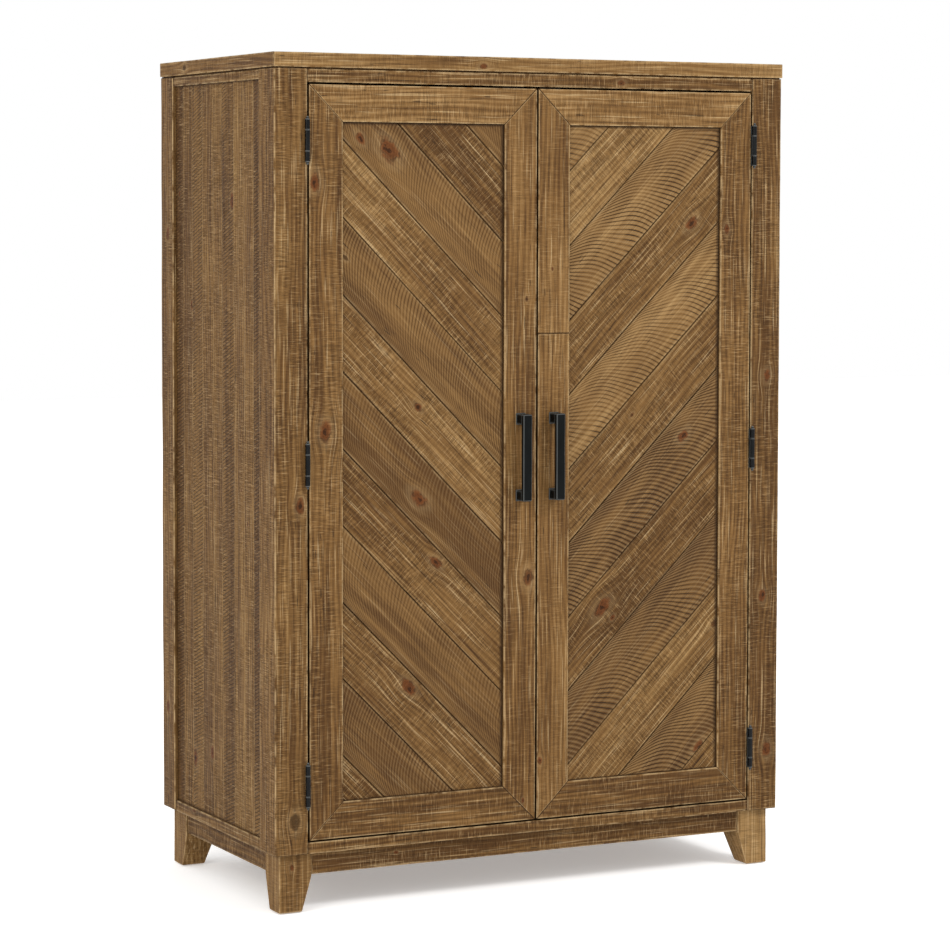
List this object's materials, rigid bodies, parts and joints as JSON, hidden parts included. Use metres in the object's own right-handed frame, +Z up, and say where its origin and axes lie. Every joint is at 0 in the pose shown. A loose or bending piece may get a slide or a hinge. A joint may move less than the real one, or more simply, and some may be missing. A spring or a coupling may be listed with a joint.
{
  "type": "armoire",
  "caption": "Tall freestanding pine wardrobe cabinet with inset chevron-plank doors on black butt hinges, square bar pulls, tapered feet, a hanging rod and shelves.",
  "frame": {"origin": "on the floor, under the middle of the overall width and depth, handles included", "axes": "+Z up, +X to the right seen from the front, +Y from the doors to the back; the doors face -Y"},
  "size_m": [1.122, 0.617, 1.638],
  "materials": {
    "case_pine": "brown stained rustic pine with band-saw marks, matt",
    "door_pine": "brown stained rustic pine with worn edges, matt",
    "plank_pine": "brown stained pine with curved saw marks, matt",
    "back_ply": "stained plywood, matt",
    "black_metal": "satin black",
    "zinc_steel": "zinc plated",
    "rod_steel": "satin nickel",
    "brown_plastic": "matt brown"
  },
  "bodies": {
    "case": {"top_slab": "case_pine", "front_left_post": "case_pine", "front_right_post": "case_pine", "back_left_post": "case_pine", "back_right_post": "case_pine", "left_side_panel": "case_pine", "right_side_panel": "case_pine", "front_top_rail": "case_pine", "back_top_rail": "case_pine", "left_top_rail": "case_pine", "right_top_rail": "case_pine", "front_bottom_rail": "case_pine", "back_bottom_rail": "case_pine", "left_bottom_rail": "case_pine", "right_bottom_rail": "case_pine", "back_panel": "back_ply", "floor_panel": "case_pine", "top_screws": "zinc_steel", "hat_shelf": "case_pine", "shoe_shelf": "case_pine", "shelf_cleats": "case_pine", "shelf_pins": "zinc_steel", "hanging_rod": "rod_steel", "rod_sockets": "rod_steel", "magnetic_catches": "brown_plastic", "front_left_foot": "case_pine", "front_right_foot": "case_pine", "back_left_foot": "case_pine", "back_right_foot": "case_pine", "front_apron": "case_pine", "back_apron": "case_pine", "left_apron": "case_pine", "right_apron": "case_pine", "foot_glides": "brown_plastic", "foot_bolts": "zinc_steel", "case_hinge_leaves": "black_metal", "hinge_pins": "black_metal", "case_hinge_screws": "black_metal"},
    "left_door": {"left_door_bottom_rail": "door_pine", "left_door_meeting_stile": "door_pine", "left_door_top_rail": "door_pine", "left_door_hinge_stile": "door_pine", "left_door_planks": "plank_pine", "left_door_hinge_leaves": "black_metal", "left_door_hinge_screws": "black_metal", "left_handle_bar": "black_metal", "left_handle_posts": "black_metal", "left_handle_screws": "zinc_steel", "left_strike_plate": "zinc_steel"},
    "right_door": {"right_door_bottom_rail": "door_pine", "right_door_meeting_stile": "door_pine", "right_door_top_rail": "door_pine", "right_door_hinge_stile": "door_pine", "right_door_planks": "plank_pine", "right_door_hinge_leaves": "black_metal", "right_door_hinge_screws": "black_metal", "right_handle_bar": "black_metal", "right_handle_posts": "black_metal", "right_handle_screws": "zinc_steel", "right_strike_plate": "zinc_steel"}
  },
  "joints": [
    {"name": "left_door_swing", "type": "hinge", "parent": "case", "child": "left_door", "pos_m": [-0.493, -0.2805, 0.8595], "axis": [0, 0, -1], "range_deg": [0, 180]},
    {"name": "right_door_swing", "type": "hinge", "parent": "case", "child": "right_door", "pos_m": [0.493, -0.2805, 0.8595], "axis": [0, 0, 1], "range_deg": [0, 180]}
  ]
}
